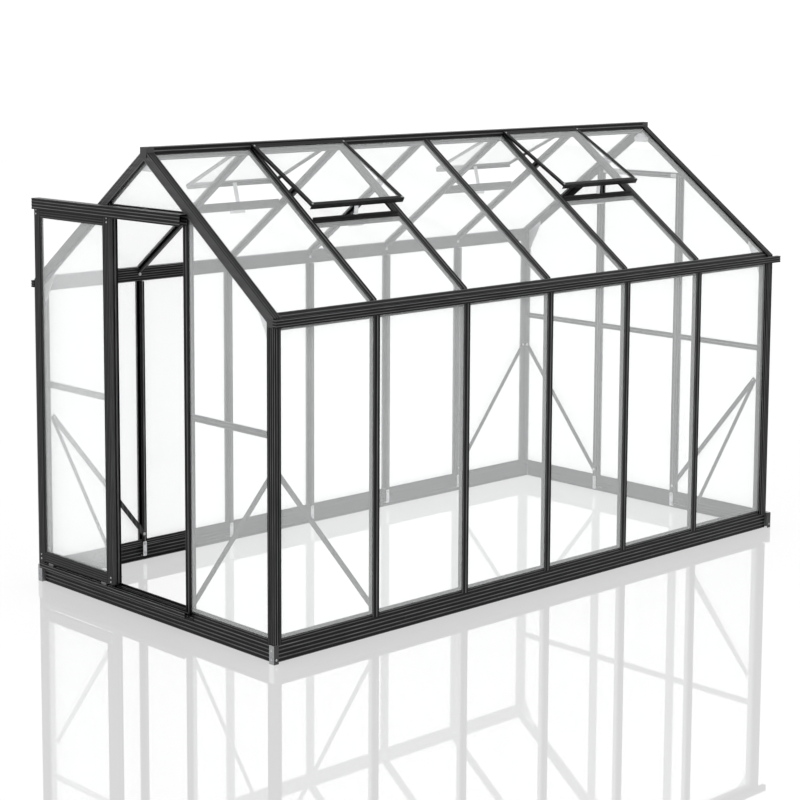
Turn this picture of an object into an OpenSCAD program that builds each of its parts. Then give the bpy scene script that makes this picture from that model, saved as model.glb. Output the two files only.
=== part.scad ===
// Glass greenhouse on a low metal base, with one sliding door and four propped roof vents.
// Millimetres. Door gable towards -Y, length along Y, ground at Z = 0.

/* [Overall size] */
// Outside width of the base
width = 1934; // [1500:3000]
// Length of the house over both gables
length = 3826; // [2500:6000]
// How far the base and the gutters reach past the rear gable
rear_reach = 40; // [0:80]
// Underside of the eave profile above the ground
eave_height = 1580; // [1200:2000]
// Slope of both roof halves, in degrees
roof_pitch = 37; // [25:45]
// Number of bays along each side
side_bays = 6; // [4:8]
// Spacing of the side and roof bars
bay = 622; // [500:700]
// Distance between the two posts of each gable
gable_bay = 612; // [500:700]

/* [Base] */
// Height of the base rails
base_height = 90; // [60:150]
// Wall of the base rails, with its ribs
base_wall = 8; // [6:12]
// Thickness of the flanges of base and sill rails
base_flange = 3; // [2:5]
// Length of the base corner boxes along the gables
base_corner_end = 35; // [30:60]
// Height of the sill rail below the glass
sill_rise = 18; // [10:30]
// Height of the sill's inner upstand above the foot of the glass
sill_lip = 8; // [4:15]

/* [Bars] */
// Thickness of the glass
glass = 4; // [3:6]
// Width of the cap outside the glass
cap_width = 38; // [18:40]
// Thickness of that cap
cap_thick = 6; // [4:10]
// Width of the ledge behind the glass
ledge_width = 40; // [30:60]
// Thickness of ledges and feet
ledge_thick = 3; // [2:5]
// Width of the inner foot of a bar
foot_width = 30; // [20:50]
// Depth of a bar behind the middle of the glass
bar_depth = 30; // [20:40]
// Depth of a roof bar behind the middle of the glass
roof_depth = 22; // [15:40]
// Thickness of a bar's web
web = 4; // [2:6]
// Outside size of a corner post
post_size = 46; // [40:60]
// Height of the middle rails above the ground
mid_rail = 1072; // [800:1400]
// Gap between the header rails and the rafters
header_gap = 0.5; // [0.3:20]

/* [Door] */
// Width of the sliding door
door_width = 652; // [500:800]
// Underside of the door above the base
door_lift = 41; // [30:60]
// Thickness of the door frame
door_thick = 22; // [18:40]
// Width of the stiles and rails
stile = 50; // [35:70]
// Distance that the door slides
door_travel = 572; // [300:700]
// Gap between the door and the outside of the corner posts
door_gap = 16; // [6:40]
// How far the top of the track lies below the top of the header
track_drop = 6; // [-10:30]
// Inside height of the door track
track_height = 54; // [40:80]
// Radius of the track wheels
wheel_radius = 10; // [7:14]

/* [Roof vents] */
// Length of a vent leaf down the slope
vent_length = 536; // [300:700]
// Opening angle of the vents on the right slope, in degrees
vent_open_right = 6; // [0:30]
// Opening angle of the vents on the left slope, in degrees
vent_open_left = 11; // [0:30]
// Distance of the vent sills from the middle of the roof
vent_sill = 467; // [300:700]
// Width of the stays that prop the vents open
stay_width = 26; // [10:40]
// Width of a vent leaf's frame members
leaf_rail = 22; // [15:40]
// Thickness of a vent leaf
leaf_thick = 12; // [8:20]

/* [Bracing] */
// Width of the diagonal braces
brace_width = 27; // [12:30]
// Thickness of the braces and plates
brace_thick = 3; // [2:5]
// Height of the upper ends of the braces
brace_top = 893; // [500:1200]
// Height of the lower ends of the braces
brace_foot = 140; // [110:250]

/* [Hidden] */
$fn = 48;
seat = 0.3;                             // gap where a strip of rubber would be
bed = 0.05;                             // gap between sloped faces
inset = 25;                             // outside of the base corners to the middle of the glass
post_inset = 21;                        // outside of a corner post to the middle of the glass
gx = width / 2 - inset;                 // side glass planes
gy = length / 2 - inset;                // gable glass planes
px = gx + post_inset;                   // outside of the corner posts
py = gy + post_inset;
hg = glass / 2;
rebate = 6;                             // how far covers reach over the glass
ps = post_size;
pl = post_size + 10;                    // end of the ledges on posts and rafters
cs = cos(roof_pitch);
sn = sin(roof_pitch);
tn = tan(roof_pitch);
roof_eave = eave_height + 46;           // middle of the roof glass above the side glass
roof_top = roof_eave + gx * tn;         // middle of the roof glass carried to x = 0
rafter_out = 12;                        // rafters above the middle of the roof glass
eave_in = 12;                           // inner face of the eave profile behind the side glass
eave_out = 45;                          // outer face of the eave profile before the side glass
eave_skirt = 20;                        // how far the inner face hangs below the eave
gutter_height = 36;                     // outer wall of the gutter
flange_x = gx - eave_in - 5;            // where the roof glass meets the eave
ridge_half = 24;                        // half width of the ridge profile
ridge_in = 20;                          // half width of its lower part
ridge_rise = 24;                        // top of the ridge above the roof glass
sill_in = bar_depth - 4;                // inner face of the sill behind the middle of the glass
cap_low = base_height + base_flange;    // where the outer caps stand
glass_low = cap_low + sill_rise;        // where the glass stands
lip_low = glass_low + sill_lip;         // top of the sill's upstand
foot_low = cap_low + 8;                 // lower ends of the inner feet
base_half = base_wall / 2;
base_corner = inset + base_half;        // side of the base corner boxes
corner_top = eave_height + 37;          // top of the blocks on the corner posts
last = (side_bays / 2 - 1) * bay;       // outermost bar on each side
gp = gable_bay / 2;
rail_half = 17;                         // half height of mid and header rails
header_top = rz(gp - cap_width / 2, rafter_out - pl) - header_gap;
header = header_top - rail_half;
door_bottom = base_height + door_lift;  // underside of the door
door_y = -(py + door_gap);              // back face of the door frame
door_mid = door_y - door_thick / 2;
door_x = -door_travel;                  // middle of the door as drawn
track_half = 24;                        // half depth of the door track
track_top = header_top - track_drop;
track_low = track_top - track_height - 3;
lip_top = track_low + 21;               // what the wheels run on
door_top = lip_top - 3 - 6;
track_left = -door_travel - door_width / 2 - 4;
track_right = door_width / 2 + 14;
wheel_x = [-door_width / 2 + 90, door_width / 2 - 90];
vent_bays = [1, side_bays - 2];         // bays with a vent, counted from the door gable
hinge_lift = rafter_out + leaf_thick / 2 + 1;

// ---- helpers ----

module box(x0, x1, y0, y1, z0, z1) translate([x0, y0, z0]) cube([x1 - x0, y1 - y0, z1 - z0]);

// an outline drawn in X and Z, carried along Y
module along_y(y0, y1) translate([0, y1, 0]) rotate([90, 0, 0]) linear_extrude(y1 - y0) children();

// an outline drawn in Y and Z, carried along X
module along_x(x0, x1) translate([x0, 0, 0]) rotate([90, 0, 90]) linear_extrude(x1 - x0) children();

module both_sides() { children(); mirror([1, 0, 0]) children(); }

module both_ends() { children(); mirror([0, 1, 0]) children(); }

// Wall frames: X runs along the wall, -Y points outwards, y = 0 is the middle of the glass
module at_front() translate([0, -gy, 0]) children();
module at_rear() rotate([0, 0, 180]) translate([0, -gy, 0]) children();
module at_right() rotate([0, 0, 90]) translate([0, -gx, 0]) children();
module at_left() rotate([0, 0, -90]) translate([0, -gx, 0]) children();

// height of a line that lies t above the middle of the roof glass
function rz(x, t) = roof_top - abs(x) * tn + t / cs;

// positions of the bars along a side, and the two edges of bay k
function bar_y(k) = (k - side_bays / 2) * bay;
function bay_lo(k) = k == 0 ? -(py - ps + rebate) : bar_y(k) + web / 2 + 5;
function bay_hi(k) = k == side_bays - 1 ? py - ps + rebate : bar_y(k + 1) - web / 2 - 5;

// ---- outlines ----

// a glazing bar seen along its length: x along the wall, -y outwards
module bar_cap() translate([-cap_width / 2, -hg - seat - cap_thick]) difference() {
    square([cap_width, cap_thick]);
    translate([cap_width / 2 + 2, -1]) square([3, 3]);
    translate([cap_width / 2 - 5, -1]) square([3, 3]);
}

module bar_foot() translate([-foot_width / 2, bar_depth - ledge_thick])
    square([foot_width, ledge_thick]);

// the part that holds the panes, down to depth d
module bar_web(d) {
    translate([-web / 2, hg]) square([web, d - hg]);
    translate([-ledge_width / 2, hg]) square([ledge_width, ledge_thick]);
    translate([-web, -hg - 1]) square([2 * web, glass + 2]);
}

// a bar that stands on the sill, its cap and foot lapping over it
module wall_bar(cap_end, end) {
    translate([0, 0, cap_low]) linear_extrude(cap_end - cap_low) bar_cap();
    translate([0, 0, foot_low]) linear_extrude(end - foot_low) bar_foot();
    translate([0, 0, glass_low]) linear_extrude(lip_low - glass_low)
        bar_web(sill_in - base_flange);
    translate([0, 0, lip_low]) linear_extrude(end - lip_low) bar_web(bar_depth - 1);
}

// a corner profile: x and y run inwards from its outer corner, glass planes at gx1 and gy1
module corner_outline(gx1, gy1) {
    difference() {
        union() {
            square([ps, gy1 - hg - seat]);
            square([gx1 - hg - seat, ps]);
            square([ps - rebate - 3, gy1 + hg + ledge_thick]);
            square([gx1 + hg + ledge_thick, ps - rebate - 3]);
            translate([0, gy1 + hg]) square([pl, ledge_thick]);
            translate([gx1 + hg, 0]) square([ledge_thick, pl]);
        }
        difference() {
            translate([3, 3]) square([ps - 6, ps - 6]);
            translate([gx1 - hg - seat - 3, gy1 - hg - seat - 3]) square(ps);
        }
        translate([gx1 + hg + ledge_thick, gy1 + hg + ledge_thick]) square(ps * 2);
        translate([ps - rebate - 3, gy1 - hg - seat]) square([ps, glass + seat]);
        translate([gx1 - hg - seat, ps - rebate - 3]) square([glass + seat, ps]);
        for (g = [9, ps / 2 - 1, ps - 13]) {
            translate([g, -1]) square([3, 2.5]);
            translate([-1, g]) square([2.5, 3]);
        }
    }
}

// legs that carry the braces on a corner post
module post_outline() {
    corner_outline(post_inset, post_inset);
    d = post_inset + bar_depth;
    translate([post_inset + hg, pl - 3]) square([d - post_inset - hg, 3]);
    translate([pl - 3, post_inset + hg]) square([3, d - post_inset - hg]);
}

// a base rail seen from its end: x outwards, y up, x = 0 at the middle of the glass; its wall
// stands at x = r, and its flange reaches back under the sill
module base_outline(r) {
    o = r + base_half;
    h = base_height;
    difference() {
        union() {
            translate([r - base_half, 0]) square([base_wall, h]);
            translate([-sill_in, h - base_flange]) square([sill_in + o, base_flange]);
            translate([o - 18, 0]) square([18, base_flange]);
        }
        translate([o - 2.5, 20]) square([3, 8]);
        translate([o - 1.5, 43]) square([2, 2.5]);
        translate([o - 2.5, 57]) square([3, 11]);
        translate([o - 1, 80]) square([2, 2.5]);
        for (z = [24, 62]) translate([r - base_half - 1, z]) square([2.5, 5]);
    }
}

// a base rail drawn in a wall frame from x0 to x1
module base_rail(x0, x1, r) rotate([0, 0, 180]) along_x(-x1, -x0) base_outline(r);

module sill_outline() {
    h = base_height;
    translate([-sill_in, h]) square([sill_in + base_half, base_flange]);
    translate([-sill_in, h]) square([base_flange, lip_low - h]);
    translate([-sill_in, glass_low - base_flange]) square([sill_in + hg, base_flange]);
    difference() {
        translate([-hg, h]) square([glass, glass_low - h]);
        translate([hg - 1.5, cap_low + 1]) square([2, 4]);
    }
}

module sill_rail(half) rotate([0, 0, 180]) along_x(-half, half) sill_outline();

// a horizontal glazing rail: outline in -Y outwards and Z, middle at z
module cross_rail(x0, x1, z) {
    h = rail_half;
    along_x(x0 - (ledge_width - cap_width) / 2, x1 + (ledge_width - cap_width) / 2) difference() {
        translate([-hg - seat - cap_thick, z - h]) square([cap_thick, 2 * h]);
        for (g = [-8, 5]) translate([-hg - seat - cap_thick - 1, z + g]) square([3, 3]);
    }
    along_x(x0, x1) translate([hg, z - h]) square([ledge_thick, 2 * h]);
    along_x(x0 + 6, x1 - 6) translate([-hg - 1, z - web]) square([glass + 2, 2 * web]);
    along_x(x0, x1) translate([hg, z - 2]) square([15, 4]);
}

// a piece of a roof bar: drawn by its distances from the middle of the glass
module slope_layer(x0, x1, t0, t1, half)
    along_y(-half, half) polygon([[x0, rz(x0, t0)], [x1, rz(x1, t0)], [x1, rz(x1, t1)],
        [x0, rz(x0, t1)]]);

module roof_bar() {
    xe = gx - eave_in;
    xf = flange_x - bed;
    slope_layer(ridge_in, xe, -roof_depth, ledge_thick - roof_depth, foot_width / 2);
    slope_layer(ridge_in, xe, -roof_depth + 1, -hg - ledge_thick - 1, web / 2);
    slope_layer(ridge_in, xf, -roof_depth + 1, -hg, web / 2);
    slope_layer(ridge_in, xf, -hg - ledge_thick, -hg, ledge_width / 2);
    slope_layer(ridge_in + 6, xf, -hg - 1, hg + 1, web);
    slope_layer(ridge_half, xf, hg + seat, hg + seat + cap_thick - 2, cap_width / 2);
    both_ends() slope_layer(ridge_half, xf, hg + seat, hg + seat + cap_thick, cap_width / 2 - 14);
    both_ends() along_y(8, cap_width / 2) polygon([[ridge_half, rz(ridge_half, hg + seat)],
        [xf, rz(xf, hg + seat)], [xf, rz(xf, hg + seat + cap_thick)],
        [ridge_half, rz(ridge_half, hg + seat + cap_thick)]]);
}

module roof_bars() for (k = [1 : side_bays - 1]) translate([0, bar_y(k), 0]) roof_bar();

// a rafter at the door gable, right half: profile swept along the slope, cut plumb at its ends
module rafter() {
    top = roof_top + 100;
    intersection() {
        translate([0, -py, roof_top + rafter_out / cs]) rotate([0, roof_pitch, 0])
            rotate([90, 0, 90]) translate([0, 0, -60]) linear_extrude(px / cs + 120)
            mirror([0, 1]) corner_outline(post_inset, rafter_out);
        union() {
            box(seat / 2, px, -py - 1, -py + ps, corner_top, top);
            box(seat / 2, px - ps, -py - 1, -py + ps, eave_height, top);
            box(ridge_half + 1, flange_x - bed, -py + ps - 1, -py + pl + 1, eave_height, top);
        }
    }
}

module rafters() both_sides() rafter();

// ---- base ----

// the base rail of a gable: between the side rails only its wall goes on to the corner boxes
module base_end(r) difference() {
    x = width / 2 - base_corner_end;
    base_rail(-x, x, r);
    both_sides() box(gx - sill_in, x + 1, base_half - r, sill_in + 1, -1, base_height + 1);
}

module base_front() color([0.16, 0.16, 0.17]) at_front() base_end(0);

module base_rear() color([0.16, 0.16, 0.17]) at_rear() base_end(rear_reach);

module base_right() color([0.16, 0.16, 0.17]) at_right()
    base_rail(base_corner - length / 2, length / 2 + rear_reach - base_corner, 0);

module base_left() mirror([1, 0, 0]) base_right();

// galvanised boxes that close the corners of the base; drawn from the outer corner inwards
module corner_box() difference() {
    cube([base_corner_end, base_corner, base_height]);
    translate([3, 3, -1]) cube([base_corner_end - 6, base_corner, base_height - base_flange + 1]);
}

module base_corner_angles() color([0.62, 0.64, 0.66]) both_sides() {
    translate([width / 2, -length / 2, 0]) mirror([1, 0, 0]) corner_box();
    translate([width / 2, length / 2 + rear_reach, 0]) rotate([0, 0, 180]) corner_box();
}

// straps that tie each bar to the inside of the base
module base_strap(s, r) {
    box(s - 12, s + 12, bar_depth, bar_depth + 2, 26, foot_low + 5);
    box(s - 12, s + 12, base_half - r, bar_depth + 1, 26, 28);
}

module base_straps() color([0.7, 0.71, 0.72]) {
    at_left() for (k = [1 : side_bays - 1]) base_strap(bar_y(k), 0);
    at_right() for (k = [1 : side_bays - 1]) base_strap(bar_y(k), 0);
    at_front() for (s = [-gp, gp]) base_strap(s, 0);
    at_rear() for (s = [-gp, gp]) base_strap(s, rear_reach);
}

module sill_rails() color([0.22, 0.22, 0.23]) {
    at_front() sill_rail(px - pl);
    at_rear() sill_rail(px - pl);
    at_left() sill_rail(py - pl);
    at_right() sill_rail(py - pl);
}

// ---- frame ----

module corner_post(sx, sy) color([0.2, 0.2, 0.21]) translate([sx * px, sy * py, base_height])
    mirror([sx > 0 ? 1 : 0, 0, 0]) mirror([0, sy > 0 ? 1 : 0, 0])
    linear_extrude(eave_height - base_height) post_outline();

module post_front_left() corner_post(-1, -1);

module post_front_right() corner_post(1, -1);

module post_rear_left() corner_post(-1, 1);

module post_rear_right() corner_post(1, 1);

module corner_blocks() color([0.1, 0.1, 0.1]) both_sides() both_ends()
    translate([px, -py, eave_height]) mirror([1, 0, 0])
    linear_extrude(corner_top - eave_height) difference() {
        square(ps);
        translate([ps - rebate - 3, post_inset - hg - seat]) square([ps, glass + seat]);
        translate([post_inset - hg - seat, ps - rebate - 3]) square([glass + seat, ps]);
    }

module eave() {
    e = eave_height;
    xi = gx - eave_in;
    xo = gx + eave_out;
    xg = xi + 22;
    flo = e + 6;
    along_y(-py + ps, py - ps) {
        translate([xi, flo]) square([xo - xi, 3]);
        translate([xi, flo]) square([3, rz(xi + 3, 1 - hg) - flo]);
        translate([xg, flo]) square([3, rz(xg + 3, 1 - hg) - flo]);
        polygon([[flange_x, rz(flange_x, -hg)], [xg + 3, rz(xg + 3, -hg)],
            [xg + 3, rz(xg + 3, hg + 1)], [flange_x, rz(flange_x, hg + 1)]]);
        translate([gx - hg - 3, e]) square([3, 7]);
        translate([gx + hg + seat, e]) square([3, 7]);
        translate([xo - 8, e + gutter_height - 3]) square([8, 3]);
        translate([xo - 8, e]) square([8, 3]);
        difference() {
            translate([xo - 5, e]) square([5, gutter_height]);
            for (z = [9, 22]) translate([xo - 2, e + z]) square([3, 5]);
        }
    }
    along_y(-py + pl, py - pl) {
        translate([xi, e - eave_skirt]) square([3, eave_skirt + 7]);
        translate([gx - hg - 3, e - eave_skirt]) square([3, eave_skirt + 1]);
    }
    gutter_end(-py - 4, -py + ps);
    gutter_end(py - ps, py + 4 + rear_reach);
}

// the gutter outside a corner post, closed at its end
module gutter_end(y0, y1) difference() {
    x0 = px + seat;
    x1 = gx + eave_out;
    e = eave_height;
    box(x0, x1, y0, y1, e, e + gutter_height);
    box(x0 + 3, x1 - 5, y0 + 3, y1 - 3, e + 9, e + gutter_height + 1);
    for (z = [9, 22]) box(x1 - 2, x1 + 1, y0 - 1, y1 + 1, e + z, e + z + 5);
}

module eave_left() color([0.2, 0.2, 0.21]) mirror([1, 0, 0]) eave();

module eave_right() color([0.2, 0.2, 0.21]) eave();

module ridge() color([0.2, 0.2, 0.21]) along_y(-py + ps, py - ps) {
    g = rz(ridge_half, hg + seat);
    b = rz(ridge_in, -roof_depth);
    t = roof_top + ridge_rise;
    translate([-ridge_half, t - 4]) square([2 * ridge_half, 4]);
    translate([-ridge_half, g]) square([3, t - g]);
    translate([ridge_half - 3, g]) square([3, t - g]);
    translate([-4, b]) square([8, t - b]);
    translate([-ridge_in, b]) square([2 * ridge_in, 3]);
    translate([-ridge_in, b]) square([3, rz(ridge_in, -hg - seat) - b]);
    translate([ridge_in - 3, b]) square([3, rz(ridge_in, -hg - seat) - b]);
    translate([-ridge_in, rz(ridge_in, -hg - seat) - 3]) square([2 * ridge_in, 3]);
}

// boxes that close the ridge over the tops of the rafters
module ridge_end_caps() color([0.12, 0.12, 0.12]) both_ends() {
    t = roof_top + ridge_rise;
    h = ridge_half;
    along_y(-py - 4, -py) translate([-h, roof_top - 28]) square([2 * h, ridge_rise + 28]);
    along_y(-py - 1, -py + ps) polygon([[-h, rz(h, rafter_out) + bed],
        [0, rz(0, rafter_out) + bed], [h, rz(h, rafter_out) + bed], [h, t], [-h, t]]);
}

module rafters_front() color([0.2, 0.2, 0.21]) rafters();

module rafters_rear() color([0.2, 0.2, 0.21]) mirror([0, 1, 0]) rafters();

module side_bars() for (k = [1 : side_bays - 1]) translate([bar_y(k), 0, 0]) {
    wall_bar(eave_height, eave_height - eave_skirt);
}

module side_bars_left() color([0.2, 0.2, 0.21]) at_left() side_bars();

module side_bars_right() color([0.2, 0.2, 0.21]) at_right() side_bars();

module roof_bars_left() color([0.2, 0.2, 0.21]) mirror([1, 0, 0]) roof_bars();

module roof_bars_right() color([0.2, 0.2, 0.21]) roof_bars();

// everything above a line that lies t above the middle of the roof glass
module under_slope(t) polygon([[-gx, rz(gx, t)], [0, rz(0, t)], [gx, rz(gx, t)],
    [gx, roof_top + 500], [-gx, roof_top + 500]]);

// gable posts are cut to the slope of the rafters
module gable_posts() for (s = [-gp, gp]) difference() {
    translate([s, 0, 0]) wall_bar(roof_top, roof_top);
    along_y(hg - 0.5, bar_depth + 1) under_slope(rafter_out - pl - bed);
    along_y(-hg - seat - cap_thick - 1, hg) under_slope(rafter_out - ps - bed);
}

module gable_posts_front() color([0.2, 0.2, 0.21]) at_front() gable_posts();

module gable_posts_rear() color([0.2, 0.2, 0.21]) at_rear() gable_posts();

// a mid rail behind the glass, which runs past it in one sheet
module inner_rail(x0, x1) along_x(x0, x1) {
    translate([hg + seat, mid_rail - rail_half]) square([ledge_thick, 2 * rail_half]);
    translate([hg + seat, mid_rail - 2]) square([15, 4]);
    translate([hg + seat, mid_rail + rail_half - 3]) square([9, 3]);
}

module side_rails() both_sides() inner_rail(gp + ledge_width / 2, px - pl);

module gable_rails_front() color([0.2, 0.2, 0.21]) at_front() {
    side_rails();
    cross_rail(-gp + ledge_width / 2, gp - ledge_width / 2, header);
}

module gable_rails_rear() color([0.2, 0.2, 0.21]) at_rear() {
    side_rails();
    inner_rail(-gp + ledge_width / 2, gp - ledge_width / 2);
    cross_rail(-gp + ledge_width / 2, gp - ledge_width / 2, header);
}

// a flat diagonal on the inside of a wall, from (s0, z0) to (s1, z1)
module brace(s0, z0, s1, z1) {
    a = atan2(z1 - z0, s1 - s0);
    l = sqrt(pow(s1 - s0, 2) + pow(z1 - z0, 2));
    translate([s0, bar_depth, z0]) rotate([0, -a, 0]) translate([0, 0, -brace_width / 2])
        cube([l, brace_thick, brace_width]);
}

// how far the upper ends lie inside the glass planes
brace_in = bar_depth + brace_width / 2;

module braces() color([0.3, 0.3, 0.31]) {
    both_sides() both_ends() at_right() brace(brace_in - gy, brace_top, -last + 4, brace_foot);
    both_sides() both_ends() at_front() brace(gx - brace_in, brace_top, gp - 4, brace_foot);
}

// galvanised plates between the corner posts and the rafters
module eave_gussets() color([0.7, 0.71, 0.72]) both_sides() both_ends()
    along_y(-gy + hg + ledge_thick, -gy + hg + ledge_thick + brace_thick) difference() {
        a = px - pl - seat;
        b = a - 95;
        polygon([[a, eave_height - 70], [a, rz(a, -24)], [b, rz(b, -24)], [b, rz(b, -44)],
            [a - 15, eave_height - 70]]);
        translate([b, eave_height - 60]) circle(70);
    }

module apex_plates() color([0.7, 0.71, 0.72]) both_ends()
    along_y(-gy + hg + ledge_thick, -gy + hg + ledge_thick + brace_thick)
    polygon([[-55, rz(55, -24)], [0, rz(0, -24)], [55, rz(55, -24)], [46, rz(55, -44)],
        [-46, rz(55, -44)]]);

// ---- glass ----

module side_glass() for (k = [0 : side_bays - 1])
    box(bay_lo(k), bay_hi(k), -hg, hg, glass_low, eave_height + 5);

module glass_left() color([0.8, 0.9, 0.9, 0.4]) at_left() side_glass();

module glass_right() color([0.8, 0.9, 0.9, 0.4]) at_right() side_glass();

// the panes beside the middle bay, cut to the slope
module gable_side_glass() both_sides() {
    a = gp + web / 2 + 5;
    b = px - ps + rebate;
    t = rafter_out - ps + rebate - bed;
    along_y(-hg, hg) polygon([[a, glass_low], [b, glass_low], [b, rz(b, t)], [a, rz(a, t)]]);
}

module gable_top_glass() {
    a = gp - web / 2 - 5;
    t = rafter_out - ps + rebate - bed;
    along_y(-hg, hg) polygon([[-a, header + web + 1], [a, header + web + 1], [a, rz(a, t)],
        [0, rz(0, t)], [-a, rz(a, t)]]);
}

module glass_front() color([0.8, 0.9, 0.9, 0.4]) at_front() {
    gable_side_glass();
    gable_top_glass();
}

module glass_rear() color([0.8, 0.9, 0.9, 0.4]) at_rear() {
    a = gp - web / 2 - 5;
    gable_side_glass();
    gable_top_glass();
    box(-a, a, -hg, hg, glass_low, header - web - 1);
}

function is_vent(k) = k == vent_bays[0] || k == vent_bays[1];

module roof_glass() for (k = [0 : side_bays - 1]) {
    x0 = is_vent(k) ? vent_sill + 3 : ridge_in + 6;
    x1 = flange_x - seat;
    along_y(bay_lo(k), bay_hi(k)) polygon([[x0, rz(x0, bed - hg)],
        [x1, rz(x1, bed - hg)], [x1, rz(x1, hg - bed)], [x0, rz(x0, hg - bed)]]);
}

module roof_glass_left() color([0.8, 0.9, 0.9, 0.4]) mirror([1, 0, 0]) roof_glass();

module roof_glass_right() color([0.8, 0.9, 0.9, 0.4]) roof_glass();

// ---- roof vents ----

module each_vent() for (k = vent_bays) translate([0, bar_y(k) + bay / 2, 0]) children();

module vent_sill_bar() {
    h = bay / 2 - ledge_width / 2;
    slope_layer(vent_sill, vent_sill + 30, -hg - ledge_thick, -hg, h);
    slope_layer(vent_sill - 3, vent_sill, -18, hg + 14, h);
    slope_layer(vent_sill - 1, vent_sill + 12, hg + seat, hg + 5, h);
    slope_layer(vent_sill - 16, vent_sill - 2, -18, -15, h);
}

module vent_sills() color([0.2, 0.2, 0.21]) both_sides() each_vent() vent_sill_bar();

// where a point of an open leaf lies: u down from the hinge, w outwards
function leaf_x(open, u, w) = ridge_half + seat + u * cos(roof_pitch - open)
    + (w + leaf_thick / 2) * sin(roof_pitch - open);
function leaf_z(open, u, w) = rz(ridge_half, hinge_lift) - u * sin(roof_pitch - open)
    + w * cos(roof_pitch - open);

// places a leaf drawn flat: x down the slope from the hinge, z outwards
module leaf_at(open) translate([leaf_x(open, 0, 0), 0, leaf_z(open, 0, 0)])
    rotate([0, roof_pitch - open, 0]) children();

module leaf_frame() {
    w = bay / 2 + 6;
    t = leaf_thick / 2;
    difference() {
        box(0, vent_length, -w, w, -t, t);
        box(leaf_rail, vent_length - leaf_rail, -w + leaf_rail, w - leaf_rail, -t - 1, t + 1);
        box(leaf_rail - 8, vent_length - leaf_rail + 8, -w + leaf_rail - 8, w - leaf_rail + 8,
            -hg - seat, hg + seat);
    }
    box(vent_length - 3, vent_length, -w, w, -t - 14, -t + 1);
}

module leaf_glass() {
    w = bay / 2 + 6 - leaf_rail + 7;
    box(leaf_rail - 7, vent_length - leaf_rail + 7, -w, w, -hg, hg);
}

module vent_frames_left() color([0.2, 0.2, 0.21]) mirror([1, 0, 0]) each_vent()
    leaf_at(vent_open_left) leaf_frame();

module vent_frames_right() color([0.2, 0.2, 0.21]) each_vent()
    leaf_at(vent_open_right) leaf_frame();

module vent_glass() color([0.8, 0.9, 0.9, 0.4]) {
    each_vent() leaf_at(vent_open_right) leaf_glass();
    mirror([1, 0, 0]) each_vent() leaf_at(vent_open_left) leaf_glass();
}

// a stay between the leaf's lower rail and the vent sill, with its bar inside the sill
module stay(open) {
    u = vent_length - leaf_rail + 5;
    w = -leaf_thick / 2 - seat;
    x = vent_sill - 3;
    along_y(-stay_width / 2, stay_width / 2) polygon([[leaf_x(open, u, w), leaf_z(open, u, w)],
        [leaf_x(open, u + 3, w), leaf_z(open, u + 3, w)],
        [x + 3, rz(x + 3, hg + 14) + seat], [x, rz(x, hg + 14) + seat]]);
    z = rz(x + 3, -18) - seat;
    box(x, x + 3, -52, 52, z - 16, z);
}

module vent_stays() color([0.6, 0.61, 0.62]) {
    each_vent() stay(vent_open_right);
    mirror([1, 0, 0]) each_vent() stay(vent_open_left);
}

// ---- door and its track ----

module track_outline() {
    y0 = door_mid - track_half;
    y1 = door_mid + track_half;
    translate([y0, track_top - 3]) square([2 * track_half, 3]);
    difference() {
        translate([y0, track_low]) square([3, track_top - track_low]);
        for (z = [12, 28, 44]) translate([y0 - 1, track_low + z]) square([2.5, 4]);
    }
    translate([y1 - 3, track_low]) square([3, track_top - track_low]);
    translate([y0, lip_top - 3]) square([track_half - 6, 3]);
    translate([door_mid + 6, lip_top - 3]) square([track_half - 6, 3]);
}

module door_track() color([0.22, 0.22, 0.23])
    along_x(track_left, track_right) track_outline();

// blocks that hold the track to the gable
module track_brackets() color([0.15, 0.15, 0.16]) {
    y0 = door_mid + track_half;
    y1 = -gy - hg - seat - cap_thick;
    for (s = [-gp, gp]) box(s - 11, s + 11, y0, y1, track_low + 6, track_low + 38);
    box(-11, 11, y0, y1, header - 14, header + 14);
}

// the rail below the door: a channel in front of the sill
module door_guide_rail() color([0.25, 0.25, 0.26]) along_x(track_left, track_right) {
    z = base_height;
    translate([door_mid - 12, z]) square([12 - door_mid - gy - base_half, 3]);
    translate([-gy - base_half - 3, z - 22]) square([3, 23]);
    translate([door_mid - 12, z]) square([3, 25]);
    translate([door_mid + 9, z]) square([3, 25]);
}

module door_member(x0, x1, z0, z1) box(x0, x1, door_y - door_thick, door_y, z0, z1);

module door_frame() color([0.2, 0.2, 0.21]) difference() {
    x0 = door_x - door_width / 2;
    x1 = door_x + door_width / 2;
    door_member(x0, x1, door_bottom, door_top);
    box(x0 + stile, x1 - stile, door_y - door_thick - 1, door_y + 3,
        door_bottom + stile, door_top - stile);
    box(x0 + stile - 10, x1 - stile + 10, door_mid - hg - seat, door_mid + hg + seat,
        door_bottom + stile - 10, door_top - stile + 10);
}

module door_glass() color([0.8, 0.9, 0.9, 0.4])
    box(door_x - door_width / 2 + stile - 9, door_x + door_width / 2 - stile + 9,
    door_mid - hg, door_mid + hg, door_bottom + stile - 9, door_top - stile + 9);

// hangers with a wheel on both sides, running on the lips of the track
module door_wheels() color([0.1, 0.1, 0.1]) for (s = wheel_x) translate([door_x + s, 0, 0]) {
    z = lip_top + seat + wheel_radius;
    box(-14, 14, door_mid - 2, door_mid + 2, door_top, z + 12);
    translate([0, door_mid + 20, z]) rotate([90, 0, 0]) cylinder(r = 4, h = 40);
    for (m = [-1, 1]) translate([0, door_mid + m * 14 + 4, z]) rotate([90, 0, 0])
        cylinder(r = wheel_radius, h = 8);
}

module door_guides() color([0.75, 0.75, 0.74]) for (s = wheel_x)
    box(door_x + s - 20, door_x + s + 20, door_mid - 4, door_mid + 4, base_height + 8,
        door_bottom);

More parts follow.
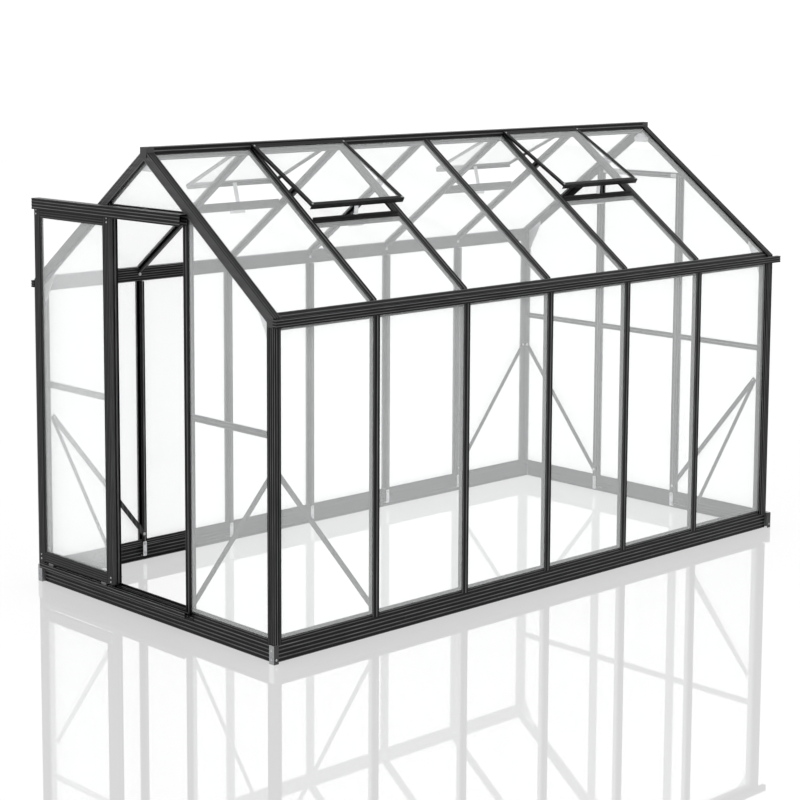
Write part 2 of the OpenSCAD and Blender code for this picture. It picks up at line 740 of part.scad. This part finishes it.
base_front();
base_rear();
base_left();
base_right();
base_corner_angles();
base_straps();
sill_rails();
post_front_left();
post_front_right();
post_rear_left();
post_rear_right();
corner_blocks();
eave_left();
eave_right();
ridge();
ridge_end_caps();
rafters_front();
rafters_rear();
side_bars_left();
side_bars_right();
roof_bars_left();
roof_bars_right();
gable_posts_front();
gable_posts_rear();
gable_rails_front();
gable_rails_rear();
braces();
eave_gussets();
apex_plates();
glass_left();
glass_right();
glass_front();
glass_rear();
roof_glass_left();
roof_glass_right();
vent_sills();
vent_frames_left();
vent_frames_right();
vent_glass();
vent_stays();
door_track();
track_brackets();
door_guide_rail();
door_frame();
door_glass();
door_wheels();
door_guides();
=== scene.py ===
# Looks of the glass greenhouse, section by section as the house is put together.
# Metres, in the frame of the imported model: door gable towards -Y, ridge along Y.
import math
import bpy
import bmesh
from mathutils import Matrix, Vector


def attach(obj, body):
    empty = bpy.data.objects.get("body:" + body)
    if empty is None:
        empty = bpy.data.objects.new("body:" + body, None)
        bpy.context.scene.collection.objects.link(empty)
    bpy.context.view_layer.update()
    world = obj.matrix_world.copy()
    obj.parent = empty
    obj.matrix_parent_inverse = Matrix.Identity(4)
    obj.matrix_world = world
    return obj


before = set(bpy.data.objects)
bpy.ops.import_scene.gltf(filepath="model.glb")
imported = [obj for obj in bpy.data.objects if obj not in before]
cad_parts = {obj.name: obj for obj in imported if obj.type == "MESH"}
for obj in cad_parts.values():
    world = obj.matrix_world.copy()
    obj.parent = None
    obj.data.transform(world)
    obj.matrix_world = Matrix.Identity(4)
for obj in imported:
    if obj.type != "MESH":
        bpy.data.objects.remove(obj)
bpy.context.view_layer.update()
bpy.ops.object.select_all(action="DESELECT")


# ---- Camera, floor and light ----
# A plain white studio: a long lens from a little above eye height, a pale floor lit from below
# with a faint polish, an even white surround and two large soft lamps that pick out the ribs.
camera = bpy.data.objects.new("camera", bpy.data.cameras.new("camera"))
bpy.context.collection.objects.link(camera)
camera.data.lens = 90.24
camera.data.sensor_width = 36
camera.data.shift_x = 0.1
camera.data.shift_y = -0.166
camera.data.clip_end = 100
camera.data.dof.use_dof = False
STAND = (7.811, -7.775, 2.949)
TURNED, LOWERED = math.radians(48.065), math.radians(6.891)
camera.matrix_world = (Matrix.Translation(STAND) @ Matrix.Rotation(TURNED, 4, "Z")
                       @ Matrix.Rotation(math.pi / 2 - LOWERED, 4, "X"))
bpy.context.scene.camera = camera
bpy.context.scene.view_settings.view_transform = "Standard"

bpy.ops.mesh.primitive_plane_add(size=60, location=(0, 0, 0))
floor = bpy.context.object
floor.name = "floor"
floor_finish = bpy.data.materials.new("studio_floor")
floor_finish.use_nodes = True
t = floor_finish.node_tree
t.nodes.clear()
add, link = t.nodes.new, t.links.new
floor_out = add("ShaderNodeOutputMaterial")
matt = add("ShaderNodeBsdfDiffuse")
matt.inputs["Color"].default_value = (1, 1, 1, 1)
glow = add("ShaderNodeEmission")
glow.inputs["Strength"].default_value = 1.07
lit = add("ShaderNodeMixShader")
lit.inputs[0].default_value = 0.8
polish = add("ShaderNodeBsdfGlossy")
polish.inputs["Roughness"].default_value = 0.015
polished = add("ShaderNodeMixShader")
polished.inputs[0].default_value = 0.38
link(matt.outputs[0], lit.inputs[1])
link(glow.outputs[0], lit.inputs[2])
link(lit.outputs[0], polished.inputs[1])
link(polish.outputs[0], polished.inputs[2])
link(polished.outputs[0], floor_out.inputs[0])
floor.data.materials.append(floor_finish)

world = bpy.data.worlds.new("studio")
bpy.context.scene.world = world
world.use_nodes = True
surround = world.node_tree.nodes["Background"]
surround.inputs["Color"].default_value = (1, 1, 1, 1)
surround.inputs["Strength"].default_value = 1.1


def soft_lamp(name, place, aim, size, power):
    lamp = bpy.data.objects.new(name, bpy.data.lights.new(name, "AREA"))
    bpy.context.collection.objects.link(lamp)
    lamp.data.size = size
    lamp.data.energy = power
    lamp.location = place
    lamp.rotation_euler = (Vector(aim) - Vector(place)).to_track_quat("-Z", "Y").to_euler()


soft_lamp("key_lamp", (9, -1, 2.2), (0, 0, 1.2), 1.6, 160)
soft_lamp("front_lamp", (-1, -9, 2.0), (0, -1, 1.2), 1.6, 110)


# ---- Powder coated aluminium ----
# All profiles of the house are extruded aluminium in a satin black powder coat: ribs with a
# painted highlight on their crests and fine die lines run along each profile, over a fine orange
# peel and some dust.
def powder_coat(name, along, ribs, period, crest=0.0, turn=(0, 0, 0), crest_highlight=0.07, dark=0.002):
    """A coat whose die lines stretch along one axis and whose ribs, with a painted highlight on
    their crests, repeat across another.
    """
    m = bpy.data.materials.new(name)
    m.use_nodes = True
    t = m.node_tree
    add, link = t.nodes.new, t.links.new
    skin = t.nodes["Principled BSDF"]
    place = add("ShaderNodeTexCoord")

    across = add("ShaderNodeMapping")
    across.inputs["Rotation"].default_value = turn
    across.inputs["Scale"].default_value = ribs
    across.inputs["Location"].default_value = (-crest, 0, 0)
    wave = add("ShaderNodeTexWave")
    wave.bands_direction = "DIAGONAL"
    wave.inputs["Scale"].default_value = math.tau / (10 * period)
    wave.inputs["Phase Offset"].default_value = math.pi / 2
    wave.inputs["Distortion"].default_value = 0
    link(place.outputs["Object"], across.inputs["Vector"])
    link(across.outputs[0], wave.inputs["Vector"])
    # painted highlight: the rib crests are painted lighter, standing in for light caught on their
    # rounded edges
    rib_highlight = add("ShaderNodeValToRGB")
    rib_highlight.color_ramp.elements[0].position = 0.74
    rib_highlight.color_ramp.elements[0].color = (dark, dark, dark * 1.06, 1)
    rib_highlight.color_ramp.elements[1].position = 0.97
    rib_highlight.color_ramp.elements[1].color = (crest_highlight, crest_highlight, crest_highlight * 1.03, 1)
    link(wave.outputs["Fac"], rib_highlight.inputs[0])

    stretch = add("ShaderNodeMapping")
    stretch.inputs["Rotation"].default_value = turn
    stretch.inputs["Scale"].default_value = along
    lines = add("ShaderNodeTexNoise")
    lines.inputs["Scale"].default_value = 4
    lines.inputs["Detail"].default_value = 3
    streak = add("ShaderNodeMapRange")
    streak.inputs["From Min"].default_value = 0.35
    streak.inputs["From Max"].default_value = 0.7
    streak.inputs["To Min"].default_value = 0.75
    streak.inputs["To Max"].default_value = 1.9
    tone = add("ShaderNodeVectorMath")
    tone.operation = "SCALE"
    link(place.outputs["Object"], stretch.inputs["Vector"])
    link(stretch.outputs[0], lines.inputs["Vector"])
    link(lines.outputs[0], streak.inputs["Value"])
    link(rib_highlight.outputs[0], tone.inputs[0])
    link(streak.outputs[0], tone.inputs["Scale"])
    link(tone.outputs[0], skin.inputs["Base Color"])

    dust = add("ShaderNodeTexNoise")
    dust.inputs["Scale"].default_value = 3.5
    dust.inputs["Detail"].default_value = 6
    dull = add("ShaderNodeMapRange")
    dull.inputs["To Min"].default_value = 0.34
    dull.inputs["To Max"].default_value = 0.54
    link(place.outputs["Object"], dust.inputs["Vector"])
    link(dust.outputs[0], dull.inputs["Value"])
    link(dull.outputs[0], skin.inputs["Roughness"])
    peel = add("ShaderNodeTexNoise")
    peel.inputs["Scale"].default_value = 900
    bump = add("ShaderNodeBump")
    bump.inputs["Strength"].default_value = 0.12
    bump.inputs["Distance"].default_value = 0.0004
    link(place.outputs["Object"], peel.inputs["Vector"])
    link(peel.outputs[0], bump.inputs["Height"])
    link(bump.outputs[0], skin.inputs["Normal"])
    skin.inputs["Specular IOR Level"].default_value = 0.13
    return m


def coat(finish, *names):
    """Gives the named parts of the house this finish."""
    for name in names:
        for face_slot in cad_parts[name].material_slots:
            face_slot.material = finish


PITCH = math.radians(37)
BAY, GABLE_BAY = 0.622, 0.612
RIBS_A_BAY = 25
BAR_CREST = -0.003
ALONG_X, ALONG_Y, ALONG_Z = (1.5, 90, 90), (90, 1.5, 90), (90, 90, 1.5)
coat(powder_coat("base_coat_across", ALONG_X, (0, 0, 1), 0.019, 0.015), "base_front", "base_rear")
coat(powder_coat("base_coat_lengthwise", ALONG_Y, (0, 0, 1), 0.019, 0.015),
     "base_left", "base_right")
coat(powder_coat("sill_coat", ALONG_Y, (0, 0, 1), 0.012, 0.103), "sill_rails")
coat(powder_coat("rail_coat", ALONG_X, (0, 0, 1), 0.0155, 0.0), "gable_rails_front",
     "gable_rails_rear", "door_guide_rail")
coat(powder_coat("track_coat", ALONG_X, (0, 0, 1), 0.016, 2.023), "door_track")
coat(powder_coat("eave_coat", ALONG_Y, (0, 0, 1), 0.013, 1.586), "eave_left", "eave_right")
coat(powder_coat("ridge_coat", ALONG_Y, (0, 0, 1), 0.02, 2.355), "ridge")
coat(powder_coat("post_coat", ALONG_Z, (1, 1, 0), 0.0145), "post_front_left",
     "post_front_right", "post_rear_left", "post_rear_right")
coat(powder_coat("bar_coat", ALONG_Z, (0, 1, 0), BAY / RIBS_A_BAY, BAR_CREST, crest_highlight=0.1),
     "side_bars_left", "side_bars_right")
coat(powder_coat("gable_bar_coat", ALONG_Z, (1, 0, 0), GABLE_BAY / RIBS_A_BAY,
                 GABLE_BAY / 2 + BAR_CREST, crest_highlight=0.1), "gable_posts_front", "gable_posts_rear")
coat(powder_coat("right_slope_coat", ALONG_X, (0, 1, 0), BAY / RIBS_A_BAY, BAR_CREST,
                 (0, -PITCH, 0), 0.1), "roof_bars_right")
coat(powder_coat("left_slope_coat", ALONG_X, (0, 1, 0), BAY / RIBS_A_BAY, BAR_CREST,
                 (0, PITCH, 0), 0.1), "roof_bars_left")
coat(powder_coat("rafter_coat", ALONG_X, (0, 1, 0), 0.0145, 0.0, (0, -PITCH, 0)),
     "rafters_front", "rafters_rear")
coat(powder_coat("leaf_coat", ALONG_Y, (0, 0, 1), 0.021, crest_highlight=0.006), "vent_frames_left",
     "vent_frames_right", "vent_sills")
coat(powder_coat("brace_coat", ALONG_Z, (1, 1, 0), 0.03, crest_highlight=0.05, dark=0.02), "braces")

# the door frame's ribs run up its stiles, and turn to run along the rails between them
DOOR_MIDDLE, DOOR_HALF, STILE = -0.572, 0.326, 0.050
door_finish = powder_coat("door_coat", ALONG_Z, (1, 0, 0), 0.0125, crest_highlight=0.04)
coat(door_finish, "door_frame")
t = door_finish.node_tree
add, link = t.nodes.new, t.links.new
wave = next(n for n in t.nodes if n.bl_idname == "ShaderNodeTexWave")
upright = wave.inputs["Vector"].links[0].from_socket
place = add("ShaderNodeTexCoord")
apart = add("ShaderNodeSeparateXYZ")
from_middle = add("ShaderNodeMath")
from_middle.operation = "ADD"
from_middle.inputs[1].default_value = -DOOR_MIDDLE
either_side = add("ShaderNodeMath")
either_side.operation = "ABSOLUTE"
between = add("ShaderNodeMath")
between.operation = "LESS_THAN"
between.inputs[1].default_value = DOOR_HALF - STILE
level = add("ShaderNodeMapping")
level.inputs["Scale"].default_value = (0, 0, 1)
choice = add("ShaderNodeMix")
choice.data_type = "VECTOR"
link(place.outputs["Object"], apart.inputs[0])
link(apart.outputs["X"], from_middle.inputs[0])
link(from_middle.outputs[0], either_side.inputs[0])
link(either_side.outputs[0], between.inputs[0])
link(place.outputs["Object"], level.inputs["Vector"])
link(between.outputs[0], choice.inputs["Factor"])
link(upright, choice.inputs["A"])
link(level.outputs[0], choice.inputs["B"])
link(choice.outputs["Result"], wave.inputs["Vector"])


# ---- Glass ----
# Clear horticultural glass, held dry in the bars: it veils what stands behind it in white, and
# rain has left a very faint film on it.
pane = bpy.data.materials.new("clear_glass")
pane.use_nodes = True
t = pane.node_tree
add, link = t.nodes.new, t.links.new
skin = t.nodes["Principled BSDF"]
skin.inputs["Base Color"].default_value = (0.96, 0.98, 0.98, 1)
skin.inputs["Roughness"].default_value = 0.06
skin.inputs["IOR"].default_value = 1.45
place = add("ShaderNodeTexCoord")
film = add("ShaderNodeTexNoise")
film.inputs["Scale"].default_value = 2.5
film.inputs["Detail"].default_value = 5
veil = add("ShaderNodeMapRange")
veil.inputs["To Min"].default_value = 0.15
veil.inputs["To Max"].default_value = 0.19
link(place.outputs["Object"], film.inputs["Vector"])
link(film.outputs[0], veil.inputs["Value"])
link(veil.outputs[0], skin.inputs["Alpha"])
coat(pane, "glass_left", "glass_right", "glass_front", "glass_rear", "roof_glass_left",
     "roof_glass_right", "vent_glass", "door_glass")


# ---- Galvanised steel ----
# Corner boxes, straps, plates and stays are bent from steel strip and dipped in zinc, which shows
# as dull spangle.
ZINC_METAL = 0.8


def galvanised(name, tone):
    """Zinc of this mean tone."""
    m = bpy.data.materials.new(name)
    m.use_nodes = True
    t = m.node_tree
    add, link = t.nodes.new, t.links.new
    skin = t.nodes["Principled BSDF"]
    place = add("ShaderNodeTexCoord")
    spangle = add("ShaderNodeTexVoronoi")
    spangle.inputs["Scale"].default_value = 160
    zinc = add("ShaderNodeValToRGB")
    zinc.color_ramp.elements[0].color = (tone * 0.8, tone * 0.82, tone * 0.84, 1)
    zinc.color_ramp.elements[1].color = (tone * 1.1, tone * 1.11, tone * 1.12, 1)
    link(place.outputs["Object"], spangle.inputs["Vector"])
    link(spangle.outputs["Color"], zinc.inputs[0])
    link(zinc.outputs[0], skin.inputs["Base Color"])
    cloud = add("ShaderNodeTexNoise")
    cloud.inputs["Scale"].default_value = 40
    dull = add("ShaderNodeMapRange")
    dull.inputs["To Min"].default_value = 0.34
    dull.inputs["To Max"].default_value = 0.55
    link(place.outputs["Object"], cloud.inputs["Vector"])
    link(cloud.outputs[0], dull.inputs["Value"])
    link(dull.outputs[0], skin.inputs["Roughness"])
    skin.inputs["Metallic"].default_value = ZINC_METAL
    return m


zinc_finish = galvanised("galvanised_steel", 0.6)
coat(zinc_finish, "base_straps", "eave_gussets", "apex_plates", "vent_stays")

# the corner boxes are zinc on their ends, and their long sides are painted near black and not
# metallic as painted shade
SHADED_FROM = 0.9665
box_finish = galvanised("corner_box_zinc_with_painted_shade", 0.3)
t = box_finish.node_tree
add, link = t.nodes.new, t.links.new
skin = t.nodes["Principled BSDF"]
zinc = skin.inputs["Base Color"].links[0].from_socket
place = add("ShaderNodeTexCoord")
apart = add("ShaderNodeSeparateXYZ")
far = add("ShaderNodeMath")
far.operation = "ABSOLUTE"
beyond = add("ShaderNodeMath")
beyond.operation = "GREATER_THAN"
beyond.inputs[1].default_value = SHADED_FROM
# painted shade: past this distance the zinc is replaced by near black with no metal, standing in
# for the side face in shade
painted_shade = add("ShaderNodeMix")
painted_shade.data_type = "RGBA"
painted_shade.inputs["B"].default_value = (0.01, 0.01, 0.011, 1)
metal = add("ShaderNodeMath")
metal.operation = "MULTIPLY_ADD"
metal.inputs[1].default_value = -ZINC_METAL
metal.inputs[2].default_value = ZINC_METAL
link(place.outputs["Object"], apart.inputs[0])
link(apart.outputs["X"], far.inputs[0])
link(far.outputs[0], beyond.inputs[0])
link(beyond.outputs[0], painted_shade.inputs["Factor"])
link(zinc, painted_shade.inputs["A"])
link(painted_shade.outputs["Result"], skin.inputs["Base Color"])
link(beyond.outputs[0], metal.inputs[0])
link(metal.outputs[0], skin.inputs["Metallic"])
coat(box_finish, "base_corner_angles")


# ---- Moulded plastic ----
# Corner blocks, ridge ends, wheels and track blocks are black nylon, the door guides grey nylon,
# with the fine grain of the mould.
def moulded(name, colour, rough):
    """Plastic or rubber of this colour, with the grain of its mould."""
    m = bpy.data.materials.new(name)
    m.use_nodes = True
    t = m.node_tree
    add, link = t.nodes.new, t.links.new
    skin = t.nodes["Principled BSDF"]
    place = add("ShaderNodeTexCoord")
    grain = add("ShaderNodeTexNoise")
    grain.inputs["Scale"].default_value = 1400
    tone = add("ShaderNodeValToRGB")
    tone.color_ramp.elements[0].color = (*[c * 0.8 for c in colour], 1)
    tone.color_ramp.elements[1].color = (*[min(1, c * 1.25) for c in colour], 1)
    bump = add("ShaderNodeBump")
    bump.inputs["Strength"].default_value = 0.2
    bump.inputs["Distance"].default_value = 0.0003
    link(place.outputs["Object"], grain.inputs["Vector"])
    link(grain.outputs[0], tone.inputs[0])
    link(tone.outputs[0], skin.inputs["Base Color"])
    link(grain.outputs[0], bump.inputs["Height"])
    link(bump.outputs[0], skin.inputs["Normal"])
    skin.inputs["Roughness"].default_value = rough
    return m


black_nylon = moulded("black_nylon", (0.012, 0.012, 0.013), 0.5)
grey_nylon = moulded("grey_nylon", (0.11, 0.11, 0.11), 0.45)
coat(black_nylon, "corner_blocks", "ridge_end_caps", "track_brackets", "door_wheels")
coat(grey_nylon, "door_guides")


# ---- Bolts ----
# M6 bolts of bright steel, each a hexagon head with a raised washer face and a round washer under
# it. They are driven up against the profiles from inside the house.
def pick(test):
    """In edit mode, selects just the faces whose middle and normal pass the test."""
    bpy.ops.mesh.select_all(action="DESELECT")
    shape = bmesh.from_edit_mesh(bpy.context.object.data)
    for f in shape.faces:
        f.select_set(bool(test(f.calc_center_median(), f.normal)))
    bmesh.update_edit_mesh(bpy.context.object.data)


def place_mesh():
    """Puts the active object's place into its mesh."""
    bpy.ops.object.transform_apply(location=True, rotation=True, scale=True)


HEAD_RADIUS, HEAD_HEIGHT = 0.0058, 0.0044
WASHER_RADIUS, WASHER_THICK = 0.0085, 0.0012
bpy.ops.mesh.primitive_cylinder_add(vertices=6, radius=HEAD_RADIUS, depth=HEAD_HEIGHT,
                                    location=(0, 0, WASHER_THICK + HEAD_HEIGHT / 2))
bolt = bpy.context.object
place_mesh()
bpy.ops.object.mode_set(mode="EDIT")
pick(lambda c, n: n.z > 0.9)
bpy.ops.mesh.inset(thickness=0.0011)
bpy.ops.mesh.extrude_region_move(TRANSFORM_OT_translate={"value": (0, 0, -0.0006)})
bpy.ops.mesh.inset(thickness=0.0016)
bpy.ops.mesh.extrude_region_move(TRANSFORM_OT_translate={"value": (0, 0, 0.0016)})
bpy.ops.mesh.primitive_cylinder_add(vertices=16, radius=WASHER_RADIUS, depth=WASHER_THICK,
                                    location=(0, 0, WASHER_THICK / 2))
bpy.ops.object.mode_set(mode="OBJECT")
steel = galvanised("bright_steel", 0.55)
bolt.data.materials.append(steel)


def bolts(name, spots, size=1.0, body="house"):
    """One piece of copied bolts; each spot is a place and the way its head points."""
    bpy.ops.object.select_all(action="DESELECT")
    copies = []
    for at, way in spots:
        copy = bpy.data.objects.new(name, bolt.data.copy())
        bpy.context.collection.objects.link(copy)
        turn = Vector(way).to_track_quat("Z", "Y").to_matrix().to_4x4()
        copy.data.transform(Matrix.Translation(at) @ turn @ Matrix.Scale(size, 4))
        copy.select_set(True)
        copies.append(copy)
    bpy.context.view_layer.objects.active = copies[0]
    bpy.ops.object.join()
    piece = bpy.context.object
    piece.name = name
    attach(piece, body)
    bpy.ops.object.select_all(action="DESELECT")


SIDES = (-1, 1)
BARS_Y = [(k - 2) * BAY for k in range(5)]
POSTS_X = [s * GABLE_BAY / 2 for s in SIDES]
STRAP_HOLES = (0.046, 0.094)
STRAP_IN_WALL, STRAP_IN_GABLE = 0.910, 1.856
bolts("strap_bolts", [((s * STRAP_IN_WALL, y, z), (-s, 0, 0))
                      for s in SIDES for y in BARS_Y for z in STRAP_HOLES]
      + [((x, e * STRAP_IN_GABLE, z), (0, -e, 0))
         for x in POSTS_X for e in SIDES for z in STRAP_HOLES])
EAVE_IN, EAVE_HOLE = 0.930, 1.598
bolts("eave_bolts", [((s * EAVE_IN, y, EAVE_HOLE), (-s, 0, 0)) for s in SIDES for y in BARS_Y])
PLATE_Y = 1.880
GUSSET_HOLES = ((0.897, 1.535), (0.890, 1.605), (0.832, 1.668))
APEX_HOLE = (0.032, 2.272)
bolts("gusset_bolts", [((s * x, e * PLATE_Y, z), (0, -e, 0))
                       for s in SIDES for e in SIDES for x, z in GUSSET_HOLES], 0.9)
bolts("apex_bolts", [((s * APEX_HOLE[0], e * PLATE_Y, APEX_HOLE[1]), (0, -e, 0))
                     for s in SIDES for e in SIDES], 0.9)
BOX_X, BOX_FRONT, BOX_REAR, BOX_SIDE = 0.950, -1.913, 1.953, 0.967
BOX_HOLES = (0.022, 0.066)
bolts("corner_box_screws",
      [((s * BOX_X, BOX_FRONT, z), (0, -1, 0)) for s in SIDES for z in BOX_HOLES]
      + [((s * BOX_X, BOX_REAR, z), (0, 1, 0)) for s in SIDES for z in BOX_HOLES]
      + [((s * BOX_SIDE, y, BOX_HOLES[0]), (s, 0, 0)) for s in SIDES for y in (-1.899, 1.939)],
      0.65)


# ---- Brace bolts ----
# Each flat brace is bolted at its upper end to the corner post and at its lower end to a bar.
def along_brace(high, low, step=0.014):
    """The two bolt places of a brace, a step in from either end."""
    a, b = Vector(high), Vector(low)
    way = (b - a).normalized()
    return tuple(a + way * step), tuple(b - way * step)


BRACE_TOP, BRACE_FOOT = 0.893, 0.140
BRACE_IN_WALL, BRACE_IN_GABLE = 0.909, 1.855
brace_spots = []
for s in SIDES:
    for e in SIDES:
        for at in along_brace((s * 0.8985, e * BRACE_IN_GABLE, BRACE_TOP),
                              (s * 0.302, e * BRACE_IN_GABLE, BRACE_FOOT)):
            brace_spots.append((at, (0, -e, 0)))
        for at in along_brace((s * BRACE_IN_WALL, e * 1.8445, BRACE_TOP),
                              (s * BRACE_IN_WALL, e * 1.240, BRACE_FOOT)):
            brace_spots.append((at, (-s, 0, 0)))
bolts("brace_bolts", brace_spots)


# ---- Glazing strips ----
# Black rubber strips, pressed in between each cap and the glass, show as a soft bead along both
# edges of every bar.
rubber = moulded("black_rubber", (0.016, 0.016, 0.016), 0.7)


def finished(piece, name, finish, body="house"):
    """Names a new piece, gives it its finish and lets it ride."""
    piece.name = name
    piece.data.materials.clear()
    piece.data.materials.append(finish)
    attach(piece, body)
    bpy.ops.object.select_all(action="DESELECT")


def beads(name, ends, width=0.0024):
    """Soft-edged beads from one end to the other, all in one piece."""
    bpy.ops.object.select_all(action="DESELECT")
    made = []
    for a, b in ends:
        a, b = Vector(a), Vector(b)
        bpy.ops.mesh.primitive_cylinder_add(vertices=8, radius=width / 2, depth=(b - a).length)
        bead = bpy.context.object
        bead.data.transform((b - a).to_track_quat("Z", "Y").to_matrix().to_4x4())
        bead.data.transform(Matrix.Translation((a + b) / 2))
        bpy.ops.object.mode_set(mode="EDIT")
        way = (b - a).normalized()
        pick(lambda c, n: abs(n.dot(way)) > 0.9)
        bpy.ops.mesh.inset(thickness=width / 5)
        bpy.ops.object.mode_set(mode="OBJECT")
        made.append(bead)
    for bead in made:
        bead.select_set(True)
    bpy.context.view_layer.objects.active = made[0]
    bpy.ops.object.join()
    finished(bpy.context.object, name, rubber)


EDGE = 0.0195
STRIP_FOOT, WALL_STRIP_TOP, GABLE_STRIP_TOP = 0.112, 1.578, 2.03
GLASS_TOP = 1.626 + 0.942 * math.tan(PITCH)
RIDGE_SIDE, EAVE_SIDE = 0.026, 0.924


def roof_z(x, lift):
    """Height of a roof slope at this distance from the middle, with a lift square to it."""
    return GLASS_TOP - abs(x) * math.tan(PITCH) + lift / math.cos(PITCH)


for side, s in (("left", -1), ("right", 1)):
    beads("wall_strips_" + side, [((s * 0.9451, y + e * EDGE, STRIP_FOOT),
                                   (s * 0.9451, y + e * EDGE, WALL_STRIP_TOP))
                                  for y in BARS_Y for e in SIDES])
    beads("roof_strips_" + side, [((s * RIDGE_SIDE, y + e * EDGE, roof_z(RIDGE_SIDE, 0.0031)),
                                   (s * EAVE_SIDE, y + e * EDGE, roof_z(EAVE_SIDE, 0.0031)))
                                  for y in BARS_Y for e in SIDES])
beads("gable_strips", [((x + d * EDGE, e * 1.8911, STRIP_FOOT),
                        (x + d * EDGE, e * 1.8911, GABLE_STRIP_TOP))
                       for x in POSTS_X for e in SIDES for d in SIDES])


# ---- Header clips ----
# Where the header rails of the rear gable meet its posts, bright clips hold them, each pressed
# from strip and bolted through.
CLIP_X, CLIP_Z = 0.262, 2.047
CLIP_LONG, CLIP_THICK, CLIP_HIGH = 0.040, 0.003, 0.022
for side, s in (("left", -1), ("right", 1)):
    bpy.ops.mesh.primitive_cube_add(size=1, location=(s * CLIP_X, 1.868, CLIP_Z))
    clip = bpy.context.object
    clip.scale = (CLIP_LONG, CLIP_THICK, CLIP_HIGH)
    place_mesh()
    bpy.ops.object.mode_set(mode="EDIT")
    pick(lambda c, n: n.x * s > 0.9)
    bpy.ops.mesh.extrude_region_move(TRANSFORM_OT_translate={"value": (0, 0, 0)})
    bpy.ops.transform.translate(value=(s * CLIP_THICK, 0, 0))
    pick(lambda c, n: n.y > 0.9 and (c.x - s * CLIP_X) * s > CLIP_LONG / 2 - 0.001)
    bpy.ops.mesh.extrude_region_move(TRANSFORM_OT_translate={"value": (0, 0.012, 0)})
    bpy.ops.object.mode_set(mode="OBJECT")
    soft = clip.modifiers.new("soft", "BEVEL")
    soft.width = 0.0008
    soft.segments = 2
    bpy.ops.object.modifier_apply(modifier="soft")
    finished(clip, "header_clip_" + side, steel)
bolts("clip_bolts", [((s * 0.252, 1.8665, CLIP_Z), (0, -1, 0)) for s in SIDES], 0.8)


# ---- Vent hinges and corner screws ----
# Each leaf hangs from the ridge by a rolled bead along its top edge, and its frame is screwed
# together at the four corners.
OPEN_RIGHT, OPEN_LEFT = 6, 11
LEAF_SCREWS_U, LEAF_SCREWS_V = (0.011, 0.525), 0.306
LEAF_HALF_THICK = 0.006
leaf_spots = []
hinge_lines = []
for s, opening in ((1, OPEN_RIGHT), (-1, OPEN_LEFT)):
    fall = PITCH - math.radians(opening)
    over_x, over_z = LEAF_HALF_THICK * math.sin(fall), LEAF_HALF_THICK * math.cos(fall)
    top_x, top_z = 0.0243 + over_x, roof_z(0.024, 0.019)
    for yc in (-1.5 * BAY, 1.5 * BAY):
        for u in LEAF_SCREWS_U:
            for v in SIDES:
                leaf_spots.append(((s * (top_x + u * math.cos(fall) + over_x),
                                    yc + v * LEAF_SCREWS_V,
                                    top_z - u * math.sin(fall) + over_z),
                                   (s * math.sin(fall), 0, math.cos(fall))))
        hinge_lines.append(((s * 0.0275, yc - 0.315, top_z + 0.004),
                            (s * 0.0275, yc + 0.315, top_z + 0.004)))
bolts("leaf_screws", leaf_spots, 0.6)
beads("vent_hinges", hinge_lines, 0.007)


# ---- Door seals and screws ----
# Rubber beads hold the pane in the door on both sides, a brush seal runs down the closing stile,
# and the frame is screwed at its corners.
DOOR_FOOT, DOOR_TOP = 0.131, 2.013
DOOR_MIDDLE_Z = (DOOR_FOOT + DOOR_TOP) / 2
for side, y in (("front", -1.9425), ("back", -1.9295)):
    bpy.ops.mesh.primitive_plane_add(size=1, rotation=(math.pi / 2, 0, 0),
                                     location=(DOOR_MIDDLE, y, DOOR_MIDDLE_Z))
    seal = bpy.context.object
    seal.scale = (2 * (DOOR_HALF - STILE), DOOR_TOP - DOOR_FOOT - 2 * STILE, 1)
    place_mesh()
    bpy.ops.object.mode_set(mode="EDIT")
    bpy.ops.mesh.select_all(action="SELECT")
    bpy.ops.mesh.inset(thickness=0.006)
    bpy.ops.mesh.delete(type="FACE")
    bpy.ops.object.mode_set(mode="OBJECT")
    wall = seal.modifiers.new("wall", "SOLIDIFY")
    wall.thickness = 0.004
    wall.offset = 0
    bpy.ops.object.modifier_apply(modifier="wall")
    soft = seal.modifiers.new("soft", "BEVEL")
    soft.width = 0.0012
    soft.segments = 2
    bpy.ops.object.modifier_apply(modifier="soft")
    finished(seal, "door_seal_" + side, rubber, "door")

bpy.ops.mesh.primitive_cube_add(
    size=1, location=(DOOR_MIDDLE + DOOR_HALF - 0.009, -1.9215, DOOR_MIDDLE_Z))
brush = bpy.context.object
brush.scale = (0.006, 0.007, DOOR_TOP - DOOR_FOOT - 0.03)
place_mesh()
bpy.ops.object.mode_set(mode="EDIT")
pick(lambda c, n: n.y > 0.9)
bpy.ops.transform.resize(value=(0.4, 1, 1))
bpy.ops.object.mode_set(mode="OBJECT")
finished(brush, "door_brush", rubber, "door")

SCREW_IN = 0.016
bolts("door_screws", [((DOOR_MIDDLE + s * (DOOR_HALF - SCREW_IN), -1.947, z), (0, -1, 0))
                      for s in SIDES for z in (DOOR_FOOT + 0.014, DOOR_FOOT + 0.036,
                                               DOOR_TOP - 0.036, DOOR_TOP - 0.014)],
      0.55, "door")


# ---- Track bolts ----
# The track is bolted through its blocks to the gable posts; the heads sit under the track.
bolts("track_bolts", [((x, -1.904, 2.0065), (0, 0, -1)) for x in POSTS_X], 0.8)
bpy.data.objects.remove(bolt)
